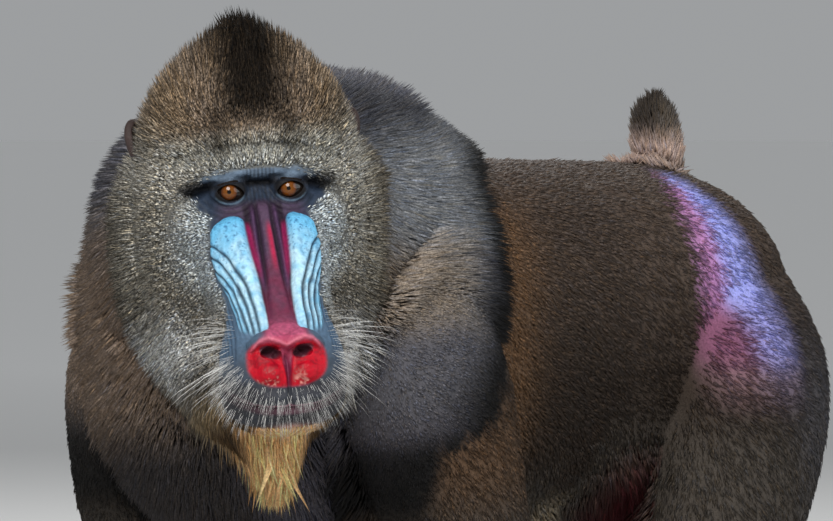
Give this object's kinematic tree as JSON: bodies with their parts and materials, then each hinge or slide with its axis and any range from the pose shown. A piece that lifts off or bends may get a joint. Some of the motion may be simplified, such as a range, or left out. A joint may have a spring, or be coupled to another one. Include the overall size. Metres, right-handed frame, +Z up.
{
  "type": "mandrill model",
  "caption": "still life-size model of an adult male mandrill standing on all fours, its head turned to its left, with a long mane, crest and beard and a short upright tail",
  "frame": {"origin": "middle of the bounding box, on the floor that the hands and feet stand on", "axes": "+Z up; the body runs along Y with the rump towards +Y and faces -Y; +X is the animal's left, and the head is turned that way"},
  "size_m": [0.4485, 0.8658, 0.7288],
  "materials": {
    "coat": "long and short fur, dark olive brown with tan speckles, a silver grey cape, a golden beard and a pale grey cheek fringe",
    "bare_skin": "bare skin: light blue ridged muzzle, crimson nose, dark hands, feet and ears",
    "eye": "glossy amber brown iris with a dark pupil"
  },
  "bodies": {
    "root": {"head": "coat", "neck": "coat", "chest": "coat", "belly": "coat", "hips": "coat", "tail": "coat", "upper_arm_left": "coat", "upper_arm_right": "coat", "forearm_left": "coat", "forearm_right": "coat", "thigh_left": "coat", "thigh_right": "coat", "shank_left": "coat", "shank_right": "coat", "hand_left": "bare_skin", "hand_right": "bare_skin", "foot_left": "bare_skin", "foot_right": "bare_skin", "ear_left": "bare_skin", "ear_right": "bare_skin", "eye_left": "eye", "eye_right": "eye"}
  },
  "joints": []
}
